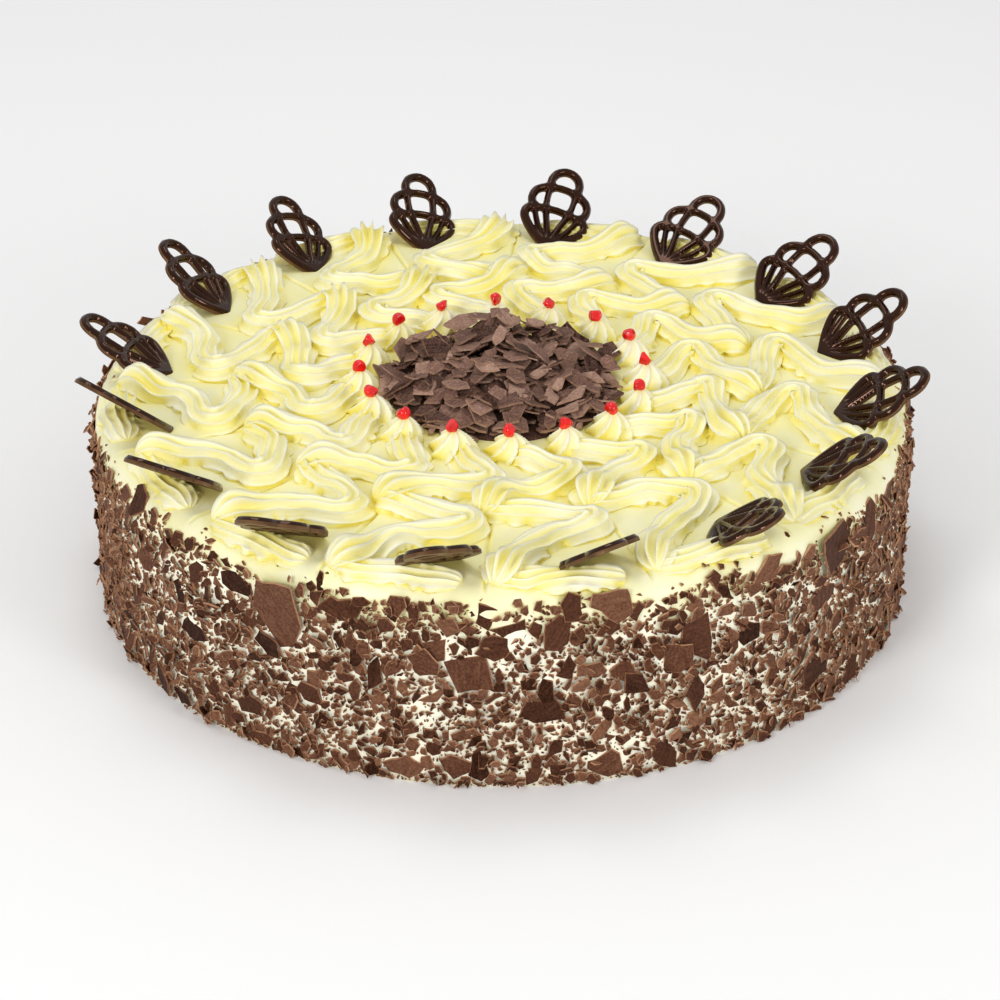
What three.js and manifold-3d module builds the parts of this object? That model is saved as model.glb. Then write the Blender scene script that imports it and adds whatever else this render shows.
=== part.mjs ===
// Vanilla cream torte. A round cake coated in cream has chocolate flakes on its side. Its top carries
// piped cream waves that end in rosettes with jelly pieces, openwork chocolate fans that lean out over
// the rim, and a heap of chocolate flakes in the middle. Sizes are in millimetres and angles in degrees.
import * as THREE from "three";
import { mergeVertices } from "three/addons/utils/BufferGeometryUtils.js";
import Module from "manifold-3d";

const wasm = await Module();
wasm.setup();

// Whole cake
const PORTIONS = 16;
const PORTION_ANGLE = 360 / PORTIONS;
const FIRST_PORTION_ANGLE = -82.4;
const CAKE_RADIUS = 137.5;
const CAKE_HEIGHT = 69;
const RIM_ROUNDING = 7;
const RIM_STEPS = 3;
const CAKE_SEGMENTS = 48;
const GAP = 0.3;

// Flakes on the side: each entry is a span and how many of that span there are
const SIDE_FLAKE_SIZES = [
  [18, 14],
  [13, 26],
  [9, 32],
];
const SIDE_FLAKE_THICKNESS = 2;
const SIDE_FLAKE_SINK = 1;
const SIDE_FLAKE_TILT = 9;
const SIDE_FLAKE_SPACING = 0.85;
const SIDE_FLAKE_TRIES = 400;

// Heap of flakes in the middle
const HEAP_RADIUS = 40;
const HEAP_HEIGHT = 5.5;
const HEAP_SEGMENTS = 16;
const HEAP_FLAKES = 20;
const HEAP_FLAKE_SPAN = 19;
const HEAP_FLAKE_THICKNESS = 1.4;
const HEAP_FLAKE_TILT = 16;
const GOLDEN_ANGLE = 137.508;

// Piped cream: the wave's corners are a distance from the cake's axis and an offset across the portion
const WAVE_CORNERS = [
  [130, 21],
  [130, -28],
  [98, 21],
  [89.5, -26],
  [72.5, 16],
  [52, -3],
];
const WAVE_TURN_RADIUS = 6;
const WAVE_TURN_STEPS = 3;
const WAVE_WIDTH = 11;
const WAVE_HEIGHT = 7.5;
const WAVE_JITTER = 0.8;
// Half of the ridged section, as fractions of the wave's width and height
const WAVE_HALF_SECTION = [
  [0.43, 0],
  [0.5, 0.42],
  [0.26, 0.66],
];

// Rosettes and jelly pieces
const ROSETTE_DISTANCE = 49.4;
const ROSETTE_OFFSET = -3.9;
const ROSETTE_RADIUS = 7.8;
const ROSETTE_HEIGHT = 8.2;
const ROSETTE_TIP_RADIUS = 2.6;
const ROSETTE_LOBES = 5;
const ROSETTE_LOBE_DEPTH = 0.13;
const JELLY_SIZE = [4.4, 4, 4];
const JELLY_JITTER = 0.5;

// Chocolate fans: positions are from the fan's tip, along its length and across it
const FAN_THICKNESS = 2.6;
const FAN_TIP_DISTANCE = 112;
const FAN_TIP_OFFSET = 13.4;
const FAN_TIP_SINK = 1.2;
const FAN_LEAN = 31.6;
const FAN_TWIST = 18.9;
const FAN_YAW = -3.4;
const FAN_JITTER = 3;
const FAN_HALF_OUTLINE = [
  [35.4, 3.4],
  [31.6, 6],
  [27, 6],
  [25.4, 9.4],
  [21.6, 11.2],
  [17.9, 10.6],
  [15.6, 13.2],
  [11.2, 13],
  [6.5, 8.6],
  [0.4, 1.8],
];
const FAN_RING_CENTRE = 31;
const FAN_RING_HOLE_RADIUS = 3.3;
const FAN_RING_HOLE_CORNERS = 6;
// Openings on the centre line, and openings on one side that are mirrored to the other
const FAN_CENTRE_OPENINGS = [
  [[19, -3], [19, 3], [25, 3], [25, -3]],
  [[6.8, 0], [15.8, 2.5], [15.8, -2.5]],
];
const FAN_SIDE_OPENINGS = [
  [[19.8, 5.6], [20.2, 8.4], [24, 7.8], [24.2, 5.4]],
  [[8.6, 3.2], [13.6, 7.2], [15.2, 5.2]],
  [[7.6, 5.6], [11.2, 10.2], [13, 9]],
];

const MATERIALS = {
  cream: new THREE.MeshStandardMaterial({ color: 0xf5efbf, roughness: 0.55 }),
  flakes: new THREE.MeshStandardMaterial({ color: 0x4b322a, roughness: 0.7 }),
  chocolate: new THREE.MeshStandardMaterial({ color: 0x2d1e19, roughness: 0.3 }),
  jelly: new THREE.MeshStandardMaterial({ color: 0xd70a0f, roughness: 0.15 }),
};

const radians = THREE.MathUtils.degToRad;

// Repeatable random numbers from 0 to 1
function seededRandom(seed) {
  let state = seed;
  return () => {
    state = (state + 0x6d2b79f5) | 0;
    let mixed = Math.imul(state ^ (state >>> 15), 1 | state);
    mixed = (mixed + Math.imul(mixed ^ (mixed >>> 7), 61 | mixed)) ^ mixed;
    return ((mixed ^ (mixed >>> 14)) >>> 0) / 4294967296;
  };
}

// A random amount between minus and plus the given size
function spread(random, size) {
  return (2 * random() - 1) * size;
}

// Closed solid from a geometry, without the flat triangles that a lathe leaves on its axis
function toSolid(geometry) {
  const plain = geometry.clone();
  plain.deleteAttribute("normal");
  plain.deleteAttribute("uv");
  const merged = mergeVertices(plain, 1e-4);
  const index = merged.index.array;
  const corners = [];
  for (let i = 0; i < index.length; i += 3) {
    const [a, b, c] = [index[i], index[i + 1], index[i + 2]];
    if (a !== b && b !== c && c !== a) {
      corners.push(a, b, c);
    }
  }
  const mesh = new wasm.Mesh({
    numProp: 3,
    vertProperties: new Float32Array(merged.attributes.position.array),
    triVerts: new Uint32Array(corners),
  });
  return new wasm.Manifold(mesh);
}

// Named mesh from a geometry or a closed solid
function namedMesh(name, geometry, material) {
  const mesh = new THREE.Mesh(geometry, material);
  mesh.name = name;
  return mesh;
}

function toGeometry(solid) {
  const mesh = solid.getMesh();
  const geometry = new THREE.BufferGeometry();
  geometry.setAttribute("position", new THREE.BufferAttribute(new Float32Array(mesh.vertProperties), 3));
  geometry.setIndex(new THREE.BufferAttribute(new Uint32Array(mesh.triVerts), 1));
  geometry.computeVertexNormals();
  return geometry;
}

// Solid of revolution about +Z from points of radius and height, listed from the bottom to the top
function turned(profile, segments) {
  const points = profile.map(([radius, height]) => new THREE.Vector2(radius, height));
  const geometry = new THREE.LatheGeometry(points, segments);
  geometry.rotateX(Math.PI / 2);
  return geometry;
}

function shapeFrom(points) {
  return new THREE.Shape(points.map(([x, y]) => new THREE.Vector2(x, y)));
}

// Flat plate with its thickness centred on its own plane
function plate(shape, thickness) {
  const geometry = new THREE.ExtrudeGeometry(shape, { depth: thickness, bevelEnabled: false });
  geometry.translate(0, 0, -thickness / 2);
  return geometry;
}

// Uneven flat flake with three or four corners in the XY plane
function flake(random, span, thickness) {
  const corners = random() < 0.5 ? 3 : 4;
  const turn = random();
  const points = [];
  for (let i = 0; i < corners; i += 1) {
    const angle = radians((360 / corners) * (i + turn + spread(random, 0.25)));
    const reach = (span / 2) * (0.72 + 0.28 * random());
    points.push([reach * Math.cos(angle), reach * Math.sin(angle)]);
  }
  return plate(shapeFrom(points), thickness);
}

function coatedCakeProfile() {
  const profile = [[0, 0], [CAKE_RADIUS, 0]];
  for (let i = 0; i <= RIM_STEPS; i += 1) {
    const angle = radians((90 * i) / RIM_STEPS);
    const radius = CAKE_RADIUS - RIM_ROUNDING * (1 - Math.cos(angle));
    const height = CAKE_HEIGHT - RIM_ROUNDING * (1 - Math.sin(angle));
    profile.push([radius, height]);
  }
  profile.push([0, CAKE_HEIGHT]);
  return profile;
}

// Places for the side flakes, the largest first, each clear of those before it
function sideFlakePlaces(random) {
  const girth = 2 * Math.PI * CAKE_RADIUS;
  const places = [];
  for (const [span, count] of SIDE_FLAKE_SIZES) {
    const lowest = span / 2 + 1;
    const highest = CAKE_HEIGHT - RIM_ROUNDING - span / 2;
    let placed = 0;
    for (let i = 0; i < SIDE_FLAKE_TRIES && placed < count; i += 1) {
      const along = random() * girth;
      const height = THREE.MathUtils.lerp(lowest, highest, random());
      const isClear = places.every((other) => {
        const apart = Math.abs(along - other.along);
        const wrapped = Math.min(apart, girth - apart);
        const reach = (SIDE_FLAKE_SPACING * (span + other.span)) / 2;
        return Math.hypot(wrapped, height - other.height) > reach;
      });
      if (isClear) {
        places.push({ along, height, span });
        placed += 1;
      }
    }
  }
  return places;
}

// One flake pressed into the side of the cake
function sideFlake(random, place) {
  const geometry = flake(random, place.span, SIDE_FLAKE_THICKNESS);
  geometry.rotateX(radians(spread(random, SIDE_FLAKE_TILT)));
  geometry.rotateY(radians(spread(random, SIDE_FLAKE_TILT)));
  geometry.rotateY(Math.PI / 2);
  geometry.translate(CAKE_RADIUS + SIDE_FLAKE_THICKNESS / 2 - SIDE_FLAKE_SINK, 0, place.height);
  geometry.rotateZ(place.along / CAKE_RADIUS);
  return toSolid(geometry);
}

function cakeBody(fanSeats) {
  const random = seededRandom(11);
  const coated = toSolid(turned(coatedCakeProfile(), CAKE_SEGMENTS));
  const flakes = sideFlakePlaces(random).map((place) => sideFlake(random, place));
  const covered = wasm.Manifold.union([coated, ...flakes]);
  return covered.subtract(wasm.Manifold.union(fanSeats));
}

// Low mound with overlapping flakes laid out in a spiral
function flakeHeap() {
  const random = seededRandom(23);
  const base = CAKE_HEIGHT + GAP;
  const mound = turned(
    [
      [0, 0],
      [HEAP_RADIUS * 0.97, 0],
      [HEAP_RADIUS * 0.9, HEAP_HEIGHT * 0.35],
      [HEAP_RADIUS * 0.5, HEAP_HEIGHT * 0.85],
      [0, HEAP_HEIGHT],
    ],
    HEAP_SEGMENTS,
  );
  mound.translate(0, 0, base);
  const pieces = [toSolid(mound)];
  for (let i = 0; i < HEAP_FLAKES; i += 1) {
    const span = HEAP_FLAKE_SPAN * (0.75 + 0.35 * random());
    const share = (i + 0.5) / HEAP_FLAKES;
    const distance = (HEAP_RADIUS - span / 2) * Math.sqrt(share);
    const geometry = flake(random, span, HEAP_FLAKE_THICKNESS);
    geometry.rotateX(radians(spread(random, HEAP_FLAKE_TILT)));
    geometry.rotateY(radians(spread(random, HEAP_FLAKE_TILT)));
    geometry.translate(distance, 0, base + HEAP_HEIGHT * (1.1 - 0.75 * share));
    geometry.rotateZ(radians(GOLDEN_ANGLE * i));
    pieces.push(toSolid(geometry));
  }
  const topFace = new THREE.BoxGeometry(4 * HEAP_RADIUS, 4 * HEAP_RADIUS, CAKE_HEIGHT);
  topFace.translate(0, 0, base - CAKE_HEIGHT / 2);
  return wasm.Manifold.union(pieces).subtract(toSolid(topFace));
}

// Path through a list of points that is sampled point by point
class PointPath extends THREE.Curve {
  constructor(points) {
    super();
    this.points = points;
  }

  getPoint(t, target = new THREE.Vector3()) {
    const place = t * (this.points.length - 1);
    const first = Math.min(Math.floor(place), this.points.length - 2);
    return target.lerpVectors(this.points[first], this.points[first + 1], place - first);
  }

  getPointAt(t, target) {
    return this.getPoint(t, target);
  }

  getTangentAt(t, target) {
    return this.getTangent(t, target);
  }
}

// Points along straight legs whose corners are rounded to arcs
function roundedPath(corners, radius, steps) {
  const points = [corners[0]];
  for (let i = 1; i < corners.length - 1; i += 1) {
    const toPrevious = corners[i - 1].clone().sub(corners[i]).normalize();
    const toNext = corners[i + 1].clone().sub(corners[i]).normalize();
    const halfAngle = toPrevious.angleTo(toNext) / 2;
    const bisector = toPrevious.clone().add(toNext).normalize();
    const centre = corners[i].clone().addScaledVector(bisector, radius / Math.sin(halfAngle));
    const start = corners[i].clone().addScaledVector(toPrevious, radius / Math.tan(halfAngle)).sub(centre);
    const end = corners[i].clone().addScaledVector(toNext, radius / Math.tan(halfAngle)).sub(centre);
    const axis = start.clone().cross(end).normalize();
    const sweep = start.angleTo(end);
    for (let step = 0; step <= steps; step += 1) {
      points.push(start.clone().applyAxisAngle(axis, (sweep * step) / steps).add(centre));
    }
  }
  points.push(corners.at(-1));
  return points;
}

// Ridged section of the piped cream: its first coordinate points down, its second across
function waveSection() {
  const right = WAVE_HALF_SECTION.map(([across, up]) => [-up * WAVE_HEIGHT, across * WAVE_WIDTH]);
  const left = right.map(([down, across]) => [down, -across]).reverse();
  return shapeFrom([...right, [-WAVE_HEIGHT, 0], ...left]);
}

function pipedWave(random) {
  const corners = WAVE_CORNERS.map(([distance, offset]) => new THREE.Vector3(
    distance + spread(random, WAVE_JITTER),
    offset + spread(random, WAVE_JITTER),
    CAKE_HEIGHT + GAP,
  ));
  const points = roundedPath(corners, WAVE_TURN_RADIUS, WAVE_TURN_STEPS);
  return new THREE.ExtrudeGeometry(waveSection(), {
    steps: points.length - 1,
    extrudePath: new PointPath(points),
  });
}

// Lobed rosette with a small flat tip
function rosette() {
  const geometry = turned(
    [
      [0, 0],
      [ROSETTE_RADIUS, 0],
      [ROSETTE_RADIUS * 0.94, ROSETTE_HEIGHT * 0.4],
      [ROSETTE_TIP_RADIUS, ROSETTE_HEIGHT],
      [0, ROSETTE_HEIGHT],
    ],
    2 * ROSETTE_LOBES,
  );
  const position = geometry.attributes.position;
  for (let i = 0; i < position.count; i += 1) {
    const angle = Math.atan2(position.getY(i), position.getX(i));
    const swell = 1 + ROSETTE_LOBE_DEPTH * Math.cos(ROSETTE_LOBES * angle);
    position.setXY(i, position.getX(i) * swell, position.getY(i) * swell);
  }
  geometry.translate(ROSETTE_DISTANCE, ROSETTE_OFFSET, CAKE_HEIGHT + GAP);
  return geometry;
}

function pipedCream(random, fanSeat) {
  return toSolid(pipedWave(random)).add(toSolid(rosette())).subtract(fanSeat);
}

// Diced jelly with uneven corners
function jellyPiece(random) {
  const box = new THREE.BoxGeometry(...JELLY_SIZE);
  box.deleteAttribute("normal");
  box.deleteAttribute("uv");
  const geometry = mergeVertices(box, 1e-4);
  const position = geometry.attributes.position;
  for (let i = 0; i < position.count; i += 1) {
    const raise = position.getZ(i) > 0 ? spread(random, JELLY_JITTER) : 0;
    const x = position.getX(i) + spread(random, JELLY_JITTER);
    const y = position.getY(i) + spread(random, JELLY_JITTER);
    position.setXYZ(i, x, y, position.getZ(i) + raise);
  }
  geometry.rotateZ(random() * Math.PI);
  const height = CAKE_HEIGHT + ROSETTE_HEIGHT + 2 * GAP + JELLY_SIZE[2] / 2;
  geometry.translate(ROSETTE_DISTANCE, ROSETTE_OFFSET, height);
  geometry.computeVertexNormals();
  return geometry;
}

function mirrored(points) {
  return points.map(([along, across]) => [along, -across]).reverse();
}

function fanOutline() {
  return shapeFrom([...FAN_HALF_OUTLINE, ...mirrored(FAN_HALF_OUTLINE)]);
}

function fanGeometry() {
  const shape = fanOutline();
  const ring = [];
  for (let i = 0; i < FAN_RING_HOLE_CORNERS; i += 1) {
    const angle = (2 * Math.PI * i) / FAN_RING_HOLE_CORNERS;
    ring.push([
      FAN_RING_CENTRE + FAN_RING_HOLE_RADIUS * Math.cos(angle),
      FAN_RING_HOLE_RADIUS * Math.sin(angle),
    ]);
  }
  const openings = [ring, ...FAN_CENTRE_OPENINGS, ...FAN_SIDE_OPENINGS, ...FAN_SIDE_OPENINGS.map(mirrored)];
  shape.holes = openings.map(shapeFrom);
  return plate(shape, FAN_THICKNESS);
}

// Position and lean of one fan in its portion
function placeFan(random, object) {
  object.position.set(FAN_TIP_DISTANCE, FAN_TIP_OFFSET, CAKE_HEIGHT - FAN_TIP_SINK);
  object.rotation.set(
    radians(FAN_TWIST + spread(random, FAN_JITTER)),
    radians(-FAN_LEAN + spread(random, FAN_JITTER)),
    radians(FAN_YAW + spread(random, FAN_JITTER)),
    "ZYX",
  );
  object.updateMatrix();
}

// Space that a fan takes up, with the gap on every side and no openings
function fanSeat(matrix) {
  const geometry = plate(fanOutline(), FAN_THICKNESS + 2 * GAP);
  const position = geometry.attributes.position;
  const middle = FAN_HALF_OUTLINE[0][0] / 2;
  const halfWidth = Math.max(...FAN_HALF_OUTLINE.map(([, across]) => across));
  for (let i = 0; i < position.count; i += 1) {
    const along = middle + (position.getX(i) - middle) * (1 + (2 * GAP) / middle);
    const across = position.getY(i) * (1 + (2 * GAP) / halfWidth);
    position.setXY(i, along, across);
  }
  geometry.applyMatrix4(matrix);
  return geometry;
}

function buildTorte() {
  const torte = new THREE.Group();
  torte.name = "vanilla_cream_torte";
  const fan = fanGeometry();
  const bodySeats = [];
  for (let i = 0; i < PORTIONS; i += 1) {
    const random = seededRandom(101 + i);
    const label = String(i + 1).padStart(2, "0");
    const portion = new THREE.Group();
    portion.name = `portion_${label}`;
    portion.rotation.z = radians(FIRST_PORTION_ANGLE + PORTION_ANGLE * i);
    portion.updateMatrix();
    const ornament = namedMesh(`ornament_${label}`, fan, MATERIALS.chocolate);
    placeFan(random, ornament);
    const seat = fanSeat(ornament.matrix);
    const cream = toGeometry(pipedCream(random, toSolid(seat)));
    portion.add(namedMesh(`piped_cream_${label}`, cream, MATERIALS.cream));
    portion.add(namedMesh(`jelly_${label}`, jellyPiece(random), MATERIALS.jelly));
    portion.add(ornament);
    torte.add(portion);
    bodySeats.push(toSolid(seat.applyMatrix4(portion.matrix)));
  }
  torte.add(namedMesh("torte_body", toGeometry(cakeBody(bodySeats)), MATERIALS.cream));
  torte.add(namedMesh("flake_heap", toGeometry(flakeHeap()), MATERIALS.flakes));
  return torte;
}

export default buildTorte();
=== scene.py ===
"""Vanilla cream torte: cream coat, chocolate flakes, piped waves, jelly pieces and chocolate fans.

Shapes are worked out in millimetres and turned into metres when a mesh is made.
"""
import math

import bmesh
import bpy
import numpy as np
from mathutils import Euler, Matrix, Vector


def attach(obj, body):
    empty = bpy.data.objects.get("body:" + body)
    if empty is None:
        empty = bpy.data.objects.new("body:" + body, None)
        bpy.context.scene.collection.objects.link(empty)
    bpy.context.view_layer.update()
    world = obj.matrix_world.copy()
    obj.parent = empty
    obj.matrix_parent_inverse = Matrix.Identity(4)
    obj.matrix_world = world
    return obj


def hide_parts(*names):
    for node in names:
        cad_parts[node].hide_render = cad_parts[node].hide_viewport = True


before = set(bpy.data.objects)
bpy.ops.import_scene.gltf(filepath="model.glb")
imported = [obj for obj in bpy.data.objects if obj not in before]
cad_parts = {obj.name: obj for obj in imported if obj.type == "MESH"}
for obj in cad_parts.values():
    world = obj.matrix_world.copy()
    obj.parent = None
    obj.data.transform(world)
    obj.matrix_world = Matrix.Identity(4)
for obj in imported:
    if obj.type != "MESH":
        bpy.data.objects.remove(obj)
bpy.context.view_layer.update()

MM = 0.001
TINY = 1e-12
UPWARD = np.array([0.0, 0.0, 1.0])

# Values that a mesh carries for its materials: type, domain and field
VALUE_KINDS = {
    "hollow": ("FLOAT", "POINT", "value"),
    "tone": ("FLOAT", "FACE", "value"),
    "grain": ("FLOAT_VECTOR", "POINT", "vector"),
}

# Whole cake, as in the solids
PORTIONS = 16
PORTION_ANGLE = 2 * math.pi / PORTIONS
FIRST_PORTION_ANGLE = math.radians(-82.4)
CAKE_RADIUS = 137.5
CAKE_HEIGHT = 69.0
RIM_ROUNDING = 7.0
WALL_HEIGHT = CAKE_HEIGHT - RIM_ROUNDING
GIRTH = 2 * math.pi * CAKE_RADIUS

# Random bumps: the waves that make them up, and the range of their fineness
BUMP_WAVES = 14
BUMP_RATES = (0.6, 1.4)
SEEDS = 1 << 30

# Cream coat: rows of points up its wall, round its rim and over its top
COAT_WALL_ROWS = 16
COAT_RIM_ROWS = 10
COAT_TOP_ROWS = 84
COAT_INNER_RADIUS = 36.0
# Spatula marks: height, size and seed of their bumps, which fade towards the foot
COAT_BUMPS = [(0.35, 42.0, 5), (0.12, 13.0, 6)]
COAT_FOOT = 4.0

# Score lines that mark the portions on the top
SCORE_ANGLE = math.radians(-9.9)
SCORE_DEPTH = 0.9
SCORE_HALF_WIDTH = 0.5
SCORE_LIP = 0.2
SCORE_LIP_OFFSET = 2.4 * SCORE_HALF_WIDTH
SCORE_INNER_RADIUS = 46.0
SCORE_INNER_FADE = 3.0
SCORE_OUTER_RADIUS = 135.0
SCORE_OUTER_FADE = 4.0
# Columns of points across a score line and between two of them, which close up inside a radius
SCORE_COLUMNS = np.array([-2.6, -1.6, -1.1, -0.75, -0.4, 0.0, 0.4, 0.75, 1.1, 1.6, 2.6])
COLUMNS_BETWEEN = 20
COLUMNS_RADIUS = 40.0

# Piped waves, as strokes through points that are a distance from the axis and an offset across
WAVE_STROKES = [
    [(127.0, 18.5), (128.2, 8.0), (128.0, -6.0), (126.0, -18.0)],
    [(126.0, -18.0), (116.5, -11.0), (108.5, -4.0), (104.2, 3.5), (101.6, 11.0), (98.0, 15.2),
     (93.8, 13.0), (90.6, 6.5), (88.2, -1.0), (86.8, -9.0), (85.5, -17.0)],
    [(85.5, -17.0), (78.5, -9.5), (74.4, -3.0), (72.6, 3.0), (70.8, 9.5), (67.4, 13.6),
     (63.2, 11.2), (59.0, 6.0), (54.8, 1.5), (50.0, -2.5)],
]
PIPING_SEED = 300
PIPING_SINK = 1.2
WAVE_WOBBLE = 1.5
WAVE_WOBBLE_SIZE = 40.0
STROKE_BULGES = [0.0, 1.0, 1.0]
STROKE_HEIGHTS = [3.8, 5.4, 5.3]
STROKE_WIDTH = 13.0
STROKE_OVERRUN = 3.0
STROKE_HOOK = 2.5
STROKE_CURVE_STEPS = 24
STROKE_STEP = 1.0
STROKE_ROUNDING = 7.5
STROKE_START_ROWS = 9
STROKE_END_ROUNDING = 4.5
STROKE_END_ROWS = 5
STROKE_TIP_ANGLE = 0.14
STROKE_SQUARENESS = 2.5

# Turns and bulges of a stroke
TURN_RADIUS = 5.0
TURN_SMOOTHING = 5
TURN_RISE = 0.25
TURN_WIDENING = 0.15
TURN_ROOM = 0.9
TURN_FILL = 0.55
BULGE_LENGTH = 8.0
BULGE_SIZES = (0.8, 1.2)
BULGE_WIDENING = 0.3
BULGE_RISE = 0.7

# Ridges along a stroke, and the scalloped hem at its foot, with painted shade in the valleys, along the hem
# and where the scallops pull in
RIDGES = 6
RIDGE_COLUMNS = np.array([0.0, 0.09, 0.24, 0.5, 0.76, 0.91])
RIDGE_DEPTH = 0.31
PLAIN_DEPTH = 0.9
BULGE_DEPTH = 0.3
RIDGE_SHARPNESS = 2.6
RIDGE_PAINTED_SHADE = 0.38
HEM_REACH = 0.3
HEM_HOLLOW = 0.4
HEM_HEIGHTS = (0.1, 0.5)
HEM_PAINTED_SHADE = 0.2
SCALLOP_LENGTH = 8.5
SCALLOP_DEPTH = 3.4
SCALLOP_MIDDLE = 0.6
SCALLOP_STRENGTH = 0.65
SCALLOP_PAINTED_SHADE = 0.5

# Unevenness along a stroke, as the amount and the length of its bumps
WIDTH_BUMPS = (0.08, 14.0)
HEIGHT_BUMPS = (0.1, 18.0)
DEPTH_BUMPS = (0.2, 20.0)
ROLL_BUMPS = (0.22, 34.0)
PULSE_BUMPS = (2.0, 30.0)
STRENGTH_BUMPS = (0.7, 26.0)

# Rosettes
ROSETTE_DISTANCE = 48.2
ROSETTE_OFFSET = -3.9
ROSETTE_RADIUS = 9.2
ROSETTE_HEIGHT = 8.8
ROSETTE_TIP_RADIUS = 0.6
ROSETTE_FULLNESS = 1.6
ROSETTE_ROUNDING = 0.8
ROSETTE_RIDGES = 7
ROSETTE_RIDGE_DEPTH = 0.32
ROSETTE_TWIST = math.radians(65)
ROSETTE_LEAN = 0.7
ROSETTE_STRETCHES = (0.9, 1.1)
ROSETTE_ROWS = 22
ROSETTE_COLUMNS = 84
ROSETTE_HEM_POWER = 4

# Jelly pieces
JELLY_SEED = 500
JELLY_SIZE = 4.0
JELLY_SINK = 1.6
JELLY_SUBDIVISIONS = 4
JELLY_FACETS = 10
JELLY_FACET_RANGE = (0.7, 1.15)
JELLY_SHARPNESS = 22
JELLY_MOST_REACH = 1.2

# Chocolate fans
FAN_TIP_DISTANCE = 112.0
FAN_TIP_OFFSET = 13.4
FAN_TIP_SINK = 1.2
FAN_LEAN = 31.6
FAN_TWIST = 18.9
FAN_YAW = -3.4
# How far each fan stands from that, in degrees of twist, lean and yaw, and its tip's shift across
FAN_SWAYS = [
    (-2, -2, 3, 0), (2, 3, 2, 0), (-2, -2, 0, 0), (0, -2, 0, -2),
    (0, -5, 4, -2), (0, -1, 0, -2), (-3, 4, 0, -1), (1, 0, 0, 0),
    (0, 3, 2, 0), (1, 1, 0, 0), (-3, -2, 1, 0), (-13, 2, 2, 5),
    (7, -2, -1, 1), (-1, 0, 2, 0), (0, 1, -2, 0), (-1, -1, 2, 0),
]
FAN_SCALE = 1.07
FAN_THICKNESS = 2.3
FAN_EDGE_THICKNESS = 1.1
FAN_SLOPE_WIDTH = 0.75
FAN_BLEND = 0.35
FAN_CURVE_STEPS = 5
FAN_SHARPEST = math.radians(60)
# Grid that a fan is cut from, and the moves of its edge onto the smooth outline
FAN_CELL = 0.36
FAN_ALONG = (-2.0, 37.0)
FAN_ACROSS = 14.0
FAN_RIM = 0.2
FAN_RIM_STEPS = 4
FAN_RIM_MOVE = 0.3 * FAN_CELL
FAN_RIM_PROBE = 0.05
FAN_LEAST_SLOPE = 0.2

# Flakes: corners of their outlines, broken edges, bevels, streaks and tones
FLAKE_CRUMB = 4.0
CRUMB_CORNERS = (3, 6)
FLAKE_CORNERS = (4, 7)
FLAKE_CORNER_SHIFT = 0.36
FLAKE_REACHES = (0.66, 1.0)
FLAKE_NARROWEST = 0.35
FLAKE_BREAK_LENGTH = 3.0
FLAKE_MOST_BREAKS = 2
FLAKE_BREAK_PLACES = (0.6, 1.4)
FLAKE_JAG = 0.03
FLAKE_BEVEL = 0.3
FLAKE_MOST_BEVEL = 0.3
FLAKE_STREAK_LENGTH = 5.0
FLAKE_STREAK_WIDTH = 1.0
FLAKE_GRAINS = 999
FLAKE_TONES = (-0.04, 0.41)
FLAKE_SIZE_TONE = 0.004
FLAKE_LOWEST = 0.05
# Where a flake feels what is under it and what covers its spot, as shares of its outline
RESTING_SHARES = (0.92, 0.5)
COVERED_SHARES = (0.85, 0.45)
RESTING_LIFT = 0.7
OUTLINE_SLACK = 0.2

# Flakes on the side, in classes: least and most span, count, share that may be covered, and lean
SIDE_FLAKE_CLASSES = [
    (9.0, 17.0, 170, 0.35, 0.1),
    (5.0, 9.0, 1500, 0.43, 0.16),
    (2.6, 5.0, 4350, 0.42, 0.2),
    (1.0, 2.6, 6600, 0.37, 0.2),
    (2.0, 6.0, 1150, 1.0, 0.4),
]
SIDE_SEED = 41
SIDE_TRIES = 8
SIDE_THICKNESSES = (0.35, 0.7)
SIDE_STEEPEST = 0.3
SIDE_SINK = 0.3
SIDE_LOWEST = 0.5
SIDE_LOW_POWER = 0.9
SIDE_CLEARANCE = 0.3
SIDE_TOP = 64.0
SIDE_TOP_UNEVEN = 3.0
SIDE_TOP_BUMP = 0.3
SIDE_TOP_SEED = 8
SIDE_TOP_MARGIN = 12
# Stray flakes above the border and flakes along the foot: their share and mean distance
STRAY_SHARE = 0.06
STRAY_HEIGHT = 2.5
FOOT_SHARE = 0.12
FOOT_HEIGHT = 2.0
# Largest flakes: direction in degrees, height of the middle, width round the wall and length up it
LARGE_FLAKES = [
    (-120, 52, 17, 30), (-127, 58, 13, 9), (-94, 43, 16, 14), (-89, 58, 12, 9), (-92, 63, 7, 9),
    (-91, 52, 11, 10), (-83, 56, 9, 13), (-76, 64, 14, 11), (-85, 29, 15, 10), (-96, 7, 11, 10),
    (-76, 6, 12, 11), (-93, 7, 7, 12), (-103, 5, 14, 9), (-81, 64, 7, 10), (-40, 59, 19, 16),
    (-31, 58, 8, 17), (-64, 46, 12, 18), (-64, 27, 8, 15), (-56, 42, 11, 9), (-53, 63, 13, 9),
]
LARGE_NARROWEST = 0.85
LARGE_LEAN = 0.08
# Span from which a flake is a plate, and the share of a smaller flake that may lie on one
PLATE_SPAN = 9.0
PLATE_OVERLAP = 0.2
# Flakes that stick out of the side, with tilts in radians
STICKING_FLAKES = 90
STICKING_LOWEST = 5.0
STICKING_SPANS = (4.0, 8.0)
STICKING_DEPTH = 1.2
STICKING_TILTS = (0.5, 1.2)
STICKING_THICKNESS = 0.6

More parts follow.
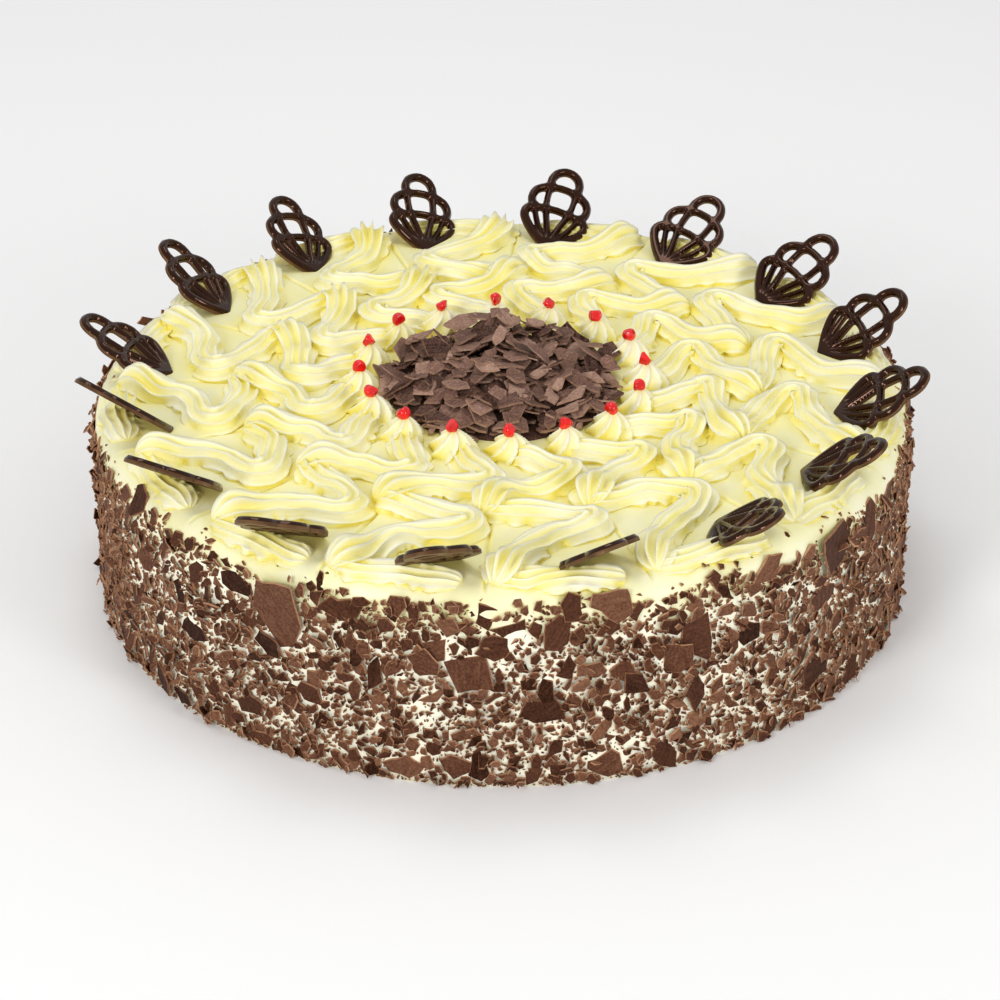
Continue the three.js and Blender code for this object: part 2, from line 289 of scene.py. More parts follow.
# Heap of flakes in the middle, with flakes in classes: least and most span, and count
HEAP_SEED = 43
HEAP_RADIUS = 43.5
HEAP_MARGIN = 4.0
HEAP_FLAKE_CLASSES = [(4.0, 8.0, 160), (7.0, 13.0, 140), (12.0, 20.0, 70), (7.0, 14.0, 90)]
HEAP_THICKNESSES = (0.5, 0.9)
HEAP_LEAN = 0.2
HEAP_STEEPEST = 0.32
HEAP_INSET_SHARE = 0.42
# Mound under the heap's flakes
CORE_RADIUS = HEAP_RADIUS - 4.0
CORE_HEIGHT = 2.4
CORE_SINK = 0.5
CORE_TIP_RADIUS = 0.5
CORE_ROWS = 9
CORE_COLUMNS = 48
# Standing flakes of the heap: direction in degrees, distance from the axis, span and tilt in degrees
STANDING_FLAKES = [
    (146, 38, 20, 66), (138, 37, 14, 60), (101, 38, 13, 72), (92, 31, 18, 28), (68, 34, 17, 38),
    (28, 39, 15, 30), (172, 40, 15, 24), (-12, 39, 17, 25), (-60, 37, 18, 20), (-120, 38, 18, 16),
]
STANDING_NARROWEST = 0.6
STANDING_SINK_SHARE = 0.35
STANDING_THICKNESS = 0.8

# Shade of the cream along its colours, in clouds, in creases, where the shade is painted, and at heights of
# the coat
CLOUD_SHADE = 0.6
# How deep the painted crease shade goes on the coat and on the piping, and the reach and rays of its
# occlusion
COAT_PAINTED_CREASE_SHADE = 0.45
PIPING_PAINTED_CREASE_SHADE = 0.7
PAINTED_SHADE_REACH = 6.0
PAINTED_SHADE_SAMPLES = 4
# On the wall the coat's shade drops below zero, which holds back the painted crease shade in the gaps
# between its flakes
COAT_SHADE_HEIGHTS = [WALL_HEIGHT - 15.0, WALL_HEIGHT, CAKE_HEIGHT]
COAT_SHADES = [-0.35, 0.16, 0.36]

# Share of a flake's streaks and dust in its shade
STREAK_SHARE = 0.35
DUST_SHARE = 0.5

# Colours of the materials, each with its place along a ramp
# Cream ramps run from the palest cream through its own colour to a deep yellow, the painted shade of
# creases and valleys
COAT_COLOURS = [(0.3, (0.99, 0.965, 0.77)), (0.7, (0.95, 0.905, 0.5)), (1.0, (0.94, 0.84, 0.26))]
PIPING_COLOURS = [(0.3, (0.98, 0.955, 0.8)), (0.65, (0.965, 0.92, 0.57)), (1.0, (0.96, 0.85, 0.2))]
FLAKE_FACE_COLOURS = [
    (0.3, (0.017, 0.0055, 0.0025)), (0.6, (0.1, 0.039, 0.022)), (0.95, (0.285, 0.138, 0.078)),
]
FLAKE_EDGE_COLOURS = [(0.3, (0.2, 0.085, 0.042)), (0.9, (0.56, 0.31, 0.175))]
# Heap faces are paler and greyer than the side's, a painted sheen of the light from above
HEAP_FACE_PAINTED_SHEEN_COLOURS = [
    (0.3, (0.02, 0.007, 0.005)), (0.6, (0.215, 0.118, 0.087)), (0.95, (0.55, 0.35, 0.26)),
]
HEAP_EDGE_COLOURS = [(0.3, (0.16, 0.085, 0.055)), (0.9, (0.5, 0.31, 0.22))]
GLOSSY_COLOURS = [(0.35, (0.009, 0.0027, 0.0011)), (0.75, (0.019, 0.0057, 0.0024))]
DULL_COLOURS = [(0.35, (0.07, 0.034, 0.014)), (0.75, (0.17, 0.098, 0.042))]
JELLY_COLOURS = [(0.35, (0.6, 0.002, 0.003)), (0.65, (0.98, 0.008, 0.008))]
FLOOR_COLOURS = [(0.3, (0.98, 0.98, 0.98)), (0.7, (0.99, 0.99, 0.99))]
SHEEN_COLOUR = (1.0, 0.46, 0.28, 1.0)

# Floor and lights, in metres and watts: each light has a name, a place and a power
LIGHTS = [
    ("overhead", (-0.15, 0.3, 1.2), 2.5),
    ("front_left", (-0.8, -1.3, 0.8), 8.9),
    ("front_right", (1.1, -1.1, 0.65), 6.2),
]
LIGHT_SIZE = 0.5
LIGHT_TARGET = (0, 0, 0.04)
WORLD_STRENGTH = 0.6
FLOOR_REACH = 6

# Camera, in metres, with its sensor and lens in millimetres
CAMERA_DISTANCE = 1.1209
CAMERA_ELEVATION = math.radians(30.754)
CAMERA_TARGET = (-0.0007, 0, 0.0249)
CAMERA_SENSOR = 36
CAMERA_LENS = 115.2


# Numbers and shapes
def smooth_bumps(points, size, seed):
    """Smooth random bumps of about -1 to 1 over rows of points, each about a size across."""
    rng = np.random.default_rng(seed)
    points = np.asarray(points, dtype=float)
    total = np.zeros(len(points))
    for _ in range(BUMP_WAVES):
        direction = rng.normal(size=points.shape[1])
        direction *= 2 * math.pi / size * rng.uniform(*BUMP_RATES) / np.linalg.norm(direction)
        total += np.sin(points @ direction + rng.uniform(0, 2 * math.pi))
    return total / math.sqrt(2 * BUMP_WAVES)


def smooth_step(low, high, values):
    """Smooth rise from 0 at low to 1 at high."""
    t = np.clip((np.asarray(values, dtype=float) - low) / (high - low), 0, 1)
    return t * t * (3 - 2 * t)


def smooth_curve(points, steps):
    """Points along a smooth curve through the given ones, with steps from each to the next."""
    padded = np.vstack([2 * points[0] - points[1], points, 2 * points[-1] - points[-2]])
    t = np.linspace(0, 1, steps, endpoint=False)[:, None]
    spans = []
    for a, b, c, d in zip(padded, padded[1:], padded[2:], padded[3:]):
        bend = (2 * a - 5 * b + 4 * c - d) * t ** 2 + (3 * b - a - 3 * c + d) * t ** 3
        spans.append((2 * b + (c - a) * t + bend) / 2)
    return np.vstack([*spans, points[-1:]])


def ring_points(radius, angles, height):
    """Points at angles round the axis."""
    return np.stack([radius * np.cos(angles), radius * np.sin(angles), np.full(len(angles), height)], 1)


def tube_faces(rows, columns, first=0):
    """Faces of a closed tube: quads from each ring of points to the next, and a cap at each end."""
    faces = []
    for i in range(rows - 1):
        low = first + i * columns
        for j in range(columns):
            k = (j + 1) % columns
            faces.append((low + j, low + k, low + columns + k, low + columns + j))
    faces.append(tuple(reversed(range(first, first + columns))))
    faces.append(tuple(range(first + (rows - 1) * columns, first + rows * columns)))
    return faces


def level_directions(angle):
    """Directions away from the axis and round it, at an angle."""
    outward = np.array([math.cos(angle), math.sin(angle), 0])
    round_way = np.array([-math.sin(angle), math.cos(angle), 0])
    return outward, round_way


def in_portion(points, index):
    """Points of one portion, turned to its place on the cake."""
    outward, round_way = level_directions(FIRST_PORTION_ANGLE + PORTION_ANGLE * index)
    return np.asarray(points) @ np.array([outward, round_way, UPWARD])


def add_object(name, data):
    """Object in the scene for a mesh, light or camera."""
    thing = bpy.data.objects.new(name, data)
    bpy.context.collection.objects.link(thing)
    return thing


def make_piece(name, points, faces, materials, nodes, slot, smooth=True, face_slots=None, **values):
    """Mesh object in metres that rides on the cake, stands for its nodes and carries named values."""
    mesh = bpy.data.meshes.new(name)
    mesh.from_pydata((np.asarray(points) * MM).tolist(), [], faces)
    for material in materials:
        mesh.materials.append(material)
    mesh.polygons.foreach_set("use_smooth", [smooth] * len(mesh.polygons))
    if face_slots is not None:
        mesh.polygons.foreach_set("material_index", face_slots)
    for value, numbers in values.items():
        kind, domain, field = VALUE_KINDS[value]
        mesh.attributes.new(value, kind, domain).data.foreach_set(field, np.ravel(numbers))
    mesh.validate()
    mesh.update()
    piece = add_object(name, mesh)
    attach(piece, "root")
    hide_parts(*nodes)
    return piece


def portion_piece(index, name, points, faces, materials, node, slot, **details):
    """Piece of one portion, turned to its place and numbered like its node."""
    number = f"_{index + 1:02d}"
    points = in_portion(points, index)
    return make_piece(name + number, points, faces, materials, [node + number], slot, **details)


# Materials
def set_inputs(material, node, inputs):
    """Set a shader node's inputs to values, or link sockets to them."""
    for name, value in inputs.items():
        if isinstance(value, bpy.types.NodeSocket):
            material.node_tree.links.new(value, node.inputs[name])
        else:
            node.inputs[name].default_value = value


def add_node(material, kind, inputs):
    """Shader node with its inputs."""
    node = material.node_tree.nodes.new("ShaderNode" + kind)
    set_inputs(material, node, inputs)
    return node


def new_material(name, inputs):
    """Material with its shader set, and the object's own coordinates for its textures."""
    material = bpy.data.materials.new(name)
    material.use_nodes = True
    shader = material.node_tree.nodes["Principled BSDF"]
    set_inputs(material, shader, inputs)
    return material, shader, add_node(material, "TexCoord", {}).outputs["Object"]


def add_noise(material, place, scale, detail=4.0):
    """Noise texture, with scale in features per metre where the place is in metres."""
    noise = add_node(material, "TexNoise", {"Vector": place, "Scale": scale, "Detail": detail})
    return noise.outputs["Fac"]


def add_value(material, name):
    """Value that the mesh carries under a name."""
    attribute = add_node(material, "Attribute", {})
    attribute.attribute_name = name
    return attribute.outputs


def add_math(material, operation, *values):
    """Math node on sockets and numbers."""
    node = add_node(material, "Math", {})
    node.operation = operation
    set_inputs(material, node, dict(enumerate(values)))
    return node.outputs[0]


def add_colour(material, shader, factor, stops):
    """Base colour from a ramp of positions and colours."""
    ramp = add_node(material, "ValToRGB", {"Fac": factor})
    elements = ramp.color_ramp.elements
    while len(elements) < len(stops):
        elements.new(0.5)
    for element, (position, colour) in zip(elements, stops):
        element.position = position
        element.color = (*colour, 1)
    set_inputs(material, shader, {"Base Color": ramp.outputs["Color"]})


def add_bump(material, shader, height, distance, strength):
    """Bump from a height, with its distance in millimetres."""
    bump = add_node(material, "Bump", {"Height": height, "Distance": distance * MM, "Strength": strength})
    set_inputs(material, shader, {"Normal": bump.outputs["Normal"]})


def cream_material(name, stops, roughness, painted_crease_shade):
    """Soft cream that light enters a little way, with painted shade that deepens its colour in its hollows
    and creases.
    """
    material, shader, place = new_material(name, {
        "Roughness": roughness,
        "Specular IOR Level": 0.4,
        "Subsurface Weight": 0.08,
        "Subsurface Radius": (1.0, 0.8, 0.35),
        "Subsurface Scale": MM,
    })
    # Painted shade: ambient occlusion deepens the cream's colour in its creases
    openness = add_node(material, "AmbientOcclusion", {"Distance": PAINTED_SHADE_REACH * MM})
    openness.samples = PAINTED_SHADE_SAMPLES
    painted_shade = add_math(material, "MULTIPLY_ADD", openness.outputs["AO"], -painted_crease_shade, painted_crease_shade)
    shade = add_math(material, "ADD", add_value(material, "hollow")["Fac"], painted_shade)
    clouds = add_noise(material, place, scale=60)
    shade = add_math(material, "MULTIPLY_ADD", clouds, CLOUD_SHADE, shade)
    add_colour(material, shader, shade, stops)
    add_bump(material, shader, add_noise(material, place, scale=420), distance=0.2, strength=0.35)
    return material


def flake_material(name, stops, roughness):
    """Dull broken chocolate, streaked along each flake and changing in shade from flake to flake."""
    settings = {"Roughness": roughness, "Specular IOR Level": 0.15, "Specular Tint": SHEEN_COLOUR}
    material, shader, place = new_material(name, settings)
    shade = add_value(material, "tone")["Fac"]
    streaks = add_noise(material, add_value(material, "grain")["Vector"], scale=1, detail=6)
    dust = add_noise(material, place, scale=1400, detail=6)
    for texture, share in ((streaks, STREAK_SHARE), (dust, DUST_SHARE)):
        shade = add_math(material, "MULTIPLY_ADD", texture, share, shade)
    add_colour(material, shader, shade, stops)
    add_bump(material, shader, streaks, distance=0.4, strength=0.6)
    return material


def chocolate_material(name, stops, roughness, grain_scale, grain_depth):
    """Moulded dark chocolate with a warm sheen."""
    material, shader, place = new_material(name, {
        "Roughness": roughness,
        "Specular IOR Level": 0.4,
        "Specular Tint": SHEEN_COLOUR,
        "Coat Weight": 0.15,
        "Coat Roughness": roughness / 2,
    })
    add_colour(material, shader, add_noise(material, place, scale=160), stops)
    add_bump(material, shader, add_noise(material, place, grain_scale), grain_depth, strength=0.4)
    return material


def jelly_material():
    """Wet red jelly."""
    material, shader, place = new_material("red_jelly", {
        "Roughness": 0.1,
        "Specular IOR Level": 0.35,
        "Coat Weight": 0.5,
        "Coat Roughness": 0.05,
    })
    clouds = add_noise(material, place, scale=300)
    add_colour(material, shader, clouds, JELLY_COLOURS)
    add_bump(material, shader, clouds, distance=0.4, strength=0.4)
    return material


# Cream coat
def score_angles(radius):
    """Angles of the columns of points at one radius, and how far those at a score line are from it."""
    reach = max(radius, COLUMNS_RADIUS)
    between = np.arange(1, COLUMNS_BETWEEN + 1) / (COLUMNS_BETWEEN + 1)
    angles = []
    offsets = []
    for index in range(PORTIONS):
        line = FIRST_PORTION_ANGLE + SCORE_ANGLE + PORTION_ANGLE * index
        start = line + SCORE_COLUMNS[-1] / reach
        end = line + PORTION_ANGLE + SCORE_COLUMNS[0] / reach
        angles.extend(line + SCORE_COLUMNS / reach)
        angles.extend(start + (end - start) * between)
        offsets.extend(SCORE_COLUMNS)
        offsets.extend([math.inf] * COLUMNS_BETWEEN)
    return np.array(angles), np.array(offsets)


def score_height(offsets, radius):
    """Height of the cream at an offset from a score line."""
    groove = -SCORE_DEPTH * np.exp(-((offsets / SCORE_HALF_WIDTH) ** 2))
    lip = SCORE_LIP * np.exp(-(((np.abs(offsets) - SCORE_LIP_OFFSET) / SCORE_HALF_WIDTH) ** 2))
    inner = smooth_step(SCORE_INNER_RADIUS - SCORE_INNER_FADE, SCORE_INNER_RADIUS, radius)
    outer = 1 - smooth_step(SCORE_OUTER_RADIUS - SCORE_OUTER_FADE, SCORE_OUTER_RADIUS, radius)
    return (groove + lip) * inner * outer


def coat_profile():
    """Radius, height and slope of each row of the coat, from its foot to its middle."""
    rows = [(CAKE_RADIUS, height, 0.0) for height in np.linspace(0, WALL_HEIGHT, COAT_WALL_ROWS)]
    for slope in np.linspace(0, math.pi / 2, COAT_RIM_ROWS)[1:]:
        radius = CAKE_RADIUS - RIM_ROUNDING * (1 - math.cos(slope))
        rows.append((radius, WALL_HEIGHT + RIM_ROUNDING * math.sin(slope), slope))
    flat = np.linspace(CAKE_RADIUS - RIM_ROUNDING, COAT_INNER_RADIUS, COAT_TOP_ROWS)[1:]
    rows.extend((radius, CAKE_HEIGHT, math.pi / 2) for radius in flat)
    return rows


def cream_coat(material):
    """Spread cream with a soft rim, faint spatula marks and the score lines of the portions."""
    rings = []
    hollows = []
    for radius, height, slope in coat_profile():
        angles, offsets = score_angles(radius)
        ring = ring_points(radius, angles, height)
        spread = sum(bump * smooth_bumps(ring, size, seed) for bump, size, seed in COAT_BUMPS)
        spread += score_height(offsets, radius) * math.sin(slope)
        spread *= min(1.0, height / COAT_FOOT)
        outward = np.stack([np.cos(angles), np.sin(angles)], 1) * math.cos(slope)
        ring[:, :2] += outward * spread[:, None]
        ring[:, 2] += math.sin(slope) * spread
        rings.append(ring)
        hollows.append(np.full(len(ring), np.interp(height, COAT_SHADE_HEIGHTS, COAT_SHADES)))
    faces = tube_faces(len(rings), len(rings[0]))
    make_piece(
        "cream_coat", np.vstack(rings), faces, [material], ["torte_body"], "vanilla_cream",
        hollow=np.concatenate(hollows)
    )


# Piped cream
def random_bumps(rng, places, amount, size):
    """Smooth random bumps along a line."""
    return amount * smooth_bumps(places[:, None], size, int(rng.integers(SEEDS)))


def stroke_lines(rng):
    """Middle lines of a wave's strokes in its portion, each a little uneven."""
    seeds = [int(seed) for seed in rng.integers(SEEDS, size=2)]
    lines = []
    back = np.zeros(2)
    for stroke in WAVE_STROKES:
        points = np.array(stroke)
        wobbles = [smooth_bumps(points, WAVE_WOBBLE_SIZE, seed) for seed in seeds]
        points += WAVE_WOBBLE * np.stack(wobbles, 1)
        outward = (points[0] - points[1]) / np.linalg.norm(points[0] - points[1])
        points[0] += STROKE_OVERRUN * outward + STROKE_HOOK * rng.uniform() * back
        lines.append(smooth_curve(points, STROKE_CURVE_STEPS))
        back = (points[-2] - points[-1]) / np.linalg.norm(points[-2] - points[-1])
    return lines


def stroke_places(length):
    """Places along a stroke, closer together round its ends."""
    opening = np.linspace(STROKE_TIP_ANGLE, math.pi / 2, STROKE_START_ROWS)
    closing = np.linspace(math.pi / 2, STROKE_TIP_ANGLE, STROKE_END_ROWS)
    start = STROKE_ROUNDING * (1 - np.cos(opening))
    end = length - STROKE_END_ROUNDING * (1 - np.cos(closing))
    count = int((end[0] - start[-1]) / STROKE_STEP)
    return np.concatenate([start[:-1], np.linspace(start[-1], end[0], count), end[1:]])


def end_rounding(distance, reach):
    """Share of full size at a distance from a rounded end."""
    left = 1 - np.clip(distance / reach, 0, 1)
    return (1 - left ** STROKE_SQUARENESS) ** (1 / STROKE_SQUARENESS)


def stroke_path(line):
    """Places along a stroke, and there its size, its middle, the way to its side and how it turns."""
    travelled = np.concatenate([[0], np.cumsum(np.linalg.norm(np.diff(line, axis=0), axis=1))])
    length = travelled[-1]
    places = stroke_places(length)
    rounding = end_rounding(places, STROKE_ROUNDING) * end_rounding(length - places, STROKE_END_ROUNDING)
    path = np.stack([np.interp(places, travelled, line[:, k]) for k in range(2)], 1)
    forward = np.gradient(path, places, axis=0)
    forward /= np.linalg.norm(forward, axis=1)[:, None]
    sideways = np.stack([forward[:, 1], -forward[:, 0]], 1)
    turning = np.sum(np.gradient(forward, places, axis=0) * sideways, axis=1)
    turning = np.convolve(turning, np.full(TURN_SMOOTHING, 1 / TURN_SMOOTHING), "same")
    return places, rounding, path, sideways, turning


def ridge_hollow(valley):
    """Hollow between narrow crests, from 0 on a crest to 1 in the middle of a valley."""
    return 1 - (1 - valley) ** RIDGE_SHARPNESS


def ridged_outline():
    """Angles round a stroke from ground to ground, close together at each crest, and the hollows."""
    steps = (np.arange(-1, RIDGES)[:, None] + 0.5 + RIDGE_COLUMNS).ravel()
    steps = steps[(steps > -HEM_REACH) & (steps < RIDGES + HEM_REACH)]
    valley = 1 - np.abs(2 * ((steps - 0.5) % 1) - 1)
    angles = steps * math.pi / RIDGES
    shallower = HEM_HOLLOW + (1 - HEM_HOLLOW) * np.maximum(np.sin(angles), 0)
    return angles, shallower * ridge_hollow(valley)


def pinch_turns(across, up, turning):
    """Stop a stroke from folding over itself on the inside of its turns."""
    room = TURN_ROOM / np.maximum(np.abs(turning), TINY)[:, None]
    pinched = (across * turning[:, None] > 0) & (np.abs(across) > room)
    across = np.where(pinched, np.sign(across) * room, across)
    up = np.where(pinched, np.maximum(up, TURN_FILL), up)
    return across, up


def piped_stroke(line, bulge, height, rng):
    """Rings of points of one stroke, a ridged rope that starts as a rounded bulge, and its hollows: painted
    shade in its valleys and along its hem.
    """
    places, rounding, path, sideways, turning = stroke_path(line)
    bend = np.clip(np.abs(turning) * TURN_RADIUS, 0, 1)
    swelling = bulge * rng.uniform(*BULGE_SIZES) * np.exp(-((places - STROKE_ROUNDING) / BULGE_LENGTH) ** 2)
    wider = BULGE_WIDENING * swelling + TURN_WIDENING * bend + random_bumps(rng, places, *WIDTH_BUMPS)
    half = STROKE_WIDTH / 2 * rounding * (1 + wider)
    taller = BULGE_RISE * swelling + TURN_RISE * bend + random_bumps(rng, places, *HEIGHT_BUMPS)
    tall = height * rounding * (1 + taller)
    deeper = BULGE_DEPTH * swelling + random_bumps(rng, places, *DEPTH_BUMPS)
    depth = RIDGE_DEPTH * (PLAIN_DEPTH + deeper)
    roll = random_bumps(rng, places, *ROLL_BUMPS)
    angles, hollow = ridged_outline()
    turned = angles + roll[:, None]
    reach = 1 - depth[:, None] * hollow
    up = np.maximum(reach * np.sin(turned), 0)
    across = half[:, None] * reach * np.cos(turned)
    beat = math.pi * places / SCALLOP_LENGTH + random_bumps(rng, places, *PULSE_BUMPS)
    pulse = np.abs(np.sin(beat))
    strength = SCALLOP_STRENGTH + random_bumps(rng, places, *STRENGTH_BUMPS)
    strength = np.clip(strength, 0, 1) * rounding
    hem = 1 - smooth_step(*HEM_HEIGHTS, up)
    across += SCALLOP_DEPTH * ((pulse - SCALLOP_MIDDLE) * strength)[:, None] * hem * np.sign(across)
    across, up = pinch_turns(across, up, turning)
    flat = path[:, None] + sideways[:, None] * across[..., None]
    points = np.dstack([flat, CAKE_HEIGHT - PIPING_SINK + (tall[:, None] + PIPING_SINK) * up])
    # Painted shade in the valleys, and along the hem, deepest where the scallops pull in
    hem_painted_shade = HEM_PAINTED_SHADE + SCALLOP_PAINTED_SHADE * ((1 - pulse) * strength)[:, None]
    return points, RIDGE_PAINTED_SHADE * hollow + hem_painted_shade * hem


def rosette(rng):
    """Rings of points of the pointed star at the end of a wave, and its hollows: painted shade in its
    valleys and round its foot.
    """
    share = np.linspace(0, 1, ROSETTE_ROWS)
    reach = ROSETTE_RADIUS * (1 - share ** ROSETTE_FULLNESS) ** ROSETTE_ROUNDING
    angles = np.linspace(0, 2 * math.pi, ROSETTE_COLUMNS, endpoint=False)
    turn = rng.uniform(0, 2 * math.pi)
    lean = rng.normal(0, ROSETTE_LEAN, 2)
    stretch = rng.uniform(*ROSETTE_STRETCHES, 2)
    points = []
    hollows = []
    for level, radius in zip(share, reach):
        twisted = angles - turn - ROSETTE_TWIST * level
        hollow = ridge_hollow(np.abs((ROSETTE_RIDGES * twisted / math.pi + 1) % 2 - 1))
        # Painted shade in the valleys and round the foot of the rosette
        hollows.append(RIDGE_PAINTED_SHADE * hollow + HEM_PAINTED_SHADE * (1 - level) ** ROSETTE_HEM_POWER)
        ridged = np.maximum(radius * (1 - ROSETTE_RIDGE_DEPTH * hollow), ROSETTE_TIP_RADIUS)
        height = CAKE_HEIGHT - PIPING_SINK + (ROSETTE_HEIGHT + PIPING_SINK) * level
        x = ROSETTE_DISTANCE + lean[0] * (1 - level) + stretch[0] * ridged * np.cos(angles)
        y = ROSETTE_OFFSET + lean[1] * (1 - level) + stretch[1] * ridged * np.sin(angles)
        points.append(np.stack([x, y, np.full(ROSETTE_COLUMNS, height)], 1))
    return np.array(points), np.array(hollows)


def piped_cream(index, material):
    """One portion's wave with its rosette."""
    rng = np.random.default_rng(PIPING_SEED + index)
    strokes = zip(stroke_lines(rng), STROKE_BULGES, STROKE_HEIGHTS)
    forms = [piped_stroke(line, bulge, height, rng) for line, bulge, height in strokes]
    forms.append(rosette(rng))
    faces = []
    first = 0
    for rings, _ in forms:
        rows, columns = rings.shape[:2]
        faces += tube_faces(rows, columns, first)
        first += rows * columns
    points = np.vstack([rings.reshape(-1, 3) for rings, _ in forms])
    # The hollows carry painted shade to the cream's colour ramp
    hollows = np.concatenate([hollow.ravel() for _, hollow in forms])
    portion_piece(
        index, "cream_wave", points, faces, [material], "piped_cream", "piped_cream", hollow=hollows
    )


# Jelly
def jelly_piece(index, material):
    """Chunk of jelly with softly rounded facets, pressed into the tip of its rosette."""
    rng = np.random.default_rng(JELLY_SEED + index)
    form = bmesh.new()
    bmesh.ops.create_icosphere(form, subdivisions=JELLY_SUBDIVISIONS, radius=1)
    form.verts.index_update()
    rays = np.array([corner.co[:] for corner in form.verts])
    faces = [tuple(corner.index for corner in face.verts) for face in form.faces]
    form.free()
    facets = rng.normal(size=(JELLY_FACETS, 3))
    distances = rng.uniform(*JELLY_FACET_RANGE, JELLY_FACETS)
    facets /= np.linalg.norm(facets, axis=1)[:, None] * distances[:, None]
    facing = np.maximum(rays @ facets.T, 0)
    reach = (facing ** JELLY_SHARPNESS).sum(1) ** (-1 / JELLY_SHARPNESS)
    points = rays * np.minimum(reach, JELLY_MOST_REACH)[:, None] * JELLY_SIZE / 2
    base = CAKE_HEIGHT + ROSETTE_HEIGHT - JELLY_SINK
    points += [ROSETTE_DISTANCE, ROSETTE_OFFSET, base - points[:, 2].min()]
    portion_piece(index, "jelly_dice", points, faces, [material], "jelly", "red_jelly")


# Chocolate fans
def both_sides(path):
    """A bar's path and its mirror image."""
    return [path, [(along, -across) for along, across in path]]


def fan_bars():
    """Middle lines of the fan's bars, along and across from its tip, with half their widths."""
    edges = both_sides([(1.4, 0.4), (5.2, 5.4), (9.0, 9.0), (12.0, 10.7), (14.4, 10.2), (15.8, 8.0)])
    ribs = both_sides([(2.2, 0.4), (8.5, 4.7), (14.8, 7.8)])
    spokes = both_sides([(2.4, 0.2), (9.5, 1.9), (16.4, 4.1), (20.6, 4.6), (25.2, 4.7)])
    cross = [[(15.8, -8.0), (16.4, -4.1), (16.8, 0.0), (16.4, 4.1), (15.8, 8.0)]]
    shoulders = both_sides([
        (15.8, 8.0), (17.6, 9.4), (20.0, 9.9), (22.6, 9.0), (24.4, 6.8), (25.2, 4.7),
    ])
    upper = [[(25.2, -4.7), (25.8, -2.0), (25.9, 0.0), (25.8, 2.0), (25.2, 4.7)]]
    ring = [[(25.2, -4.7), (28.3, -5.0), (31.1, -3.9), (32.6, -1.9), (33.0, 0.0),
             (32.6, 1.9), (31.1, 3.9), (28.3, 5.0), (25.2, 4.7)]]
    groups = [(edges, 1.3), (ribs, 0.75), (spokes, 0.9), (cross, 1.0), (shoulders, 1.2), (upper, 1.0),
              (ring, 1.25)]
    return [
        (smooth_curve(np.array(path), FAN_CURVE_STEPS), half) for paths, half in groups for path in paths
    ]


def fan_depth(places):
    """Depth of each place inside the fan's bars, negative in its openings."""
    total = np.zeros(len(places))
    for path, half in fan_bars():
        nearest = np.full(len(places), np.inf)
        for start, end in zip(path, path[1:]):
            leg = end - start
            share = np.clip((places - start) @ leg / (leg @ leg), 0, 1)
            nearest = np.minimum(nearest, np.linalg.norm(places - start - share[:, None] * leg, axis=1))
        total += np.exp((half - nearest) / FAN_BLEND)
    return FAN_BLEND * np.log(np.maximum(total, TINY))


def fan_cells():
    """Corners of a grid over the fan, and the cells of it that its bars fill."""
    along = np.arange(*FAN_ALONG, FAN_CELL)
    across = np.arange(-FAN_ACROSS, FAN_ACROSS + FAN_CELL, FAN_CELL)
    corners = np.stack(np.meshgrid(along, across, indexing="ij"), -1).reshape(-1, 2)
    depth = fan_depth(corners).reshape(len(along), len(across))
    centre = (depth[:-1, :-1] + depth[1:, :-1] + depth[:-1, 1:] + depth[1:, 1:]) / 4
    ids = np.arange(len(corners)).reshape(len(along), len(across))
    quads = np.stack([ids[:-1, :-1], ids[1:, :-1], ids[1:, 1:], ids[:-1, 1:]], -1)
    return corners, quads[centre > -FAN_RIM]


def rim_sides(quads):
    """Sides that only one quad has."""
    sides = dict.fromkeys((quad[k], quad[(k + 1) % 4]) for quad in quads for k in range(4))
    return [(a, b) for a, b in sides if (b, a) not in sides]


def on_outline(places):
    """Places at the edge of the fan's cells, moved onto the smooth outline of its bars."""
    probes = FAN_RIM_PROBE * np.eye(2)
    for _ in range(FAN_RIM_STEPS):
        value = fan_depth(places) + FAN_RIM
        slopes = [fan_depth(places + probe) - fan_depth(places - probe) for probe in probes]
        slope = np.stack(slopes, 1) / (2 * FAN_RIM_PROBE)
        size = np.maximum((slope ** 2).sum(1), FAN_LEAST_SLOPE)
        move = -slope * (value / size)[:, None]
        places = places + np.clip(move, -FAN_RIM_MOVE, FAN_RIM_MOVE)
    return places


def fan_mesh():
    """Points, faces and face slots of one fan: a ridged glossy front, and a flat dull back."""
    places, quads = fan_cells()
    rim = rim_sides(quads)
    edge = np.unique(np.array(rim).ravel())
    places[edge] = on_outline(places[edge])
    used, renumbered = np.unique(quads.ravel(), return_inverse=True)
    number = {old: new for new, old in enumerate(used)}
    quads = renumbered.reshape(-1, 4).tolist()
    flat = places[used]
    rise = np.clip(fan_depth(flat) / FAN_SLOPE_WIDTH, 0, 1)
    front = FAN_EDGE_THICKNESS + (FAN_THICKNESS - FAN_EDGE_THICKNESS) * np.sin(math.pi / 2 * rise)
    count = len(used)
    points = np.vstack([
        np.column_stack([flat, front - FAN_THICKNESS / 2]),
        np.column_stack([flat, np.full(count, -FAN_THICKNESS / 2)]),
    ])
    faces = [tuple(quad) for quad in quads]
    faces += [tuple(corner + count for corner in reversed(quad)) for quad in quads]
    walls = [(number[b], number[a], number[a] + count, number[b] + count) for a, b in rim]
    slots = [0] * len(quads) + [1] * (len(quads) + len(walls))
    return points, faces + walls, slots


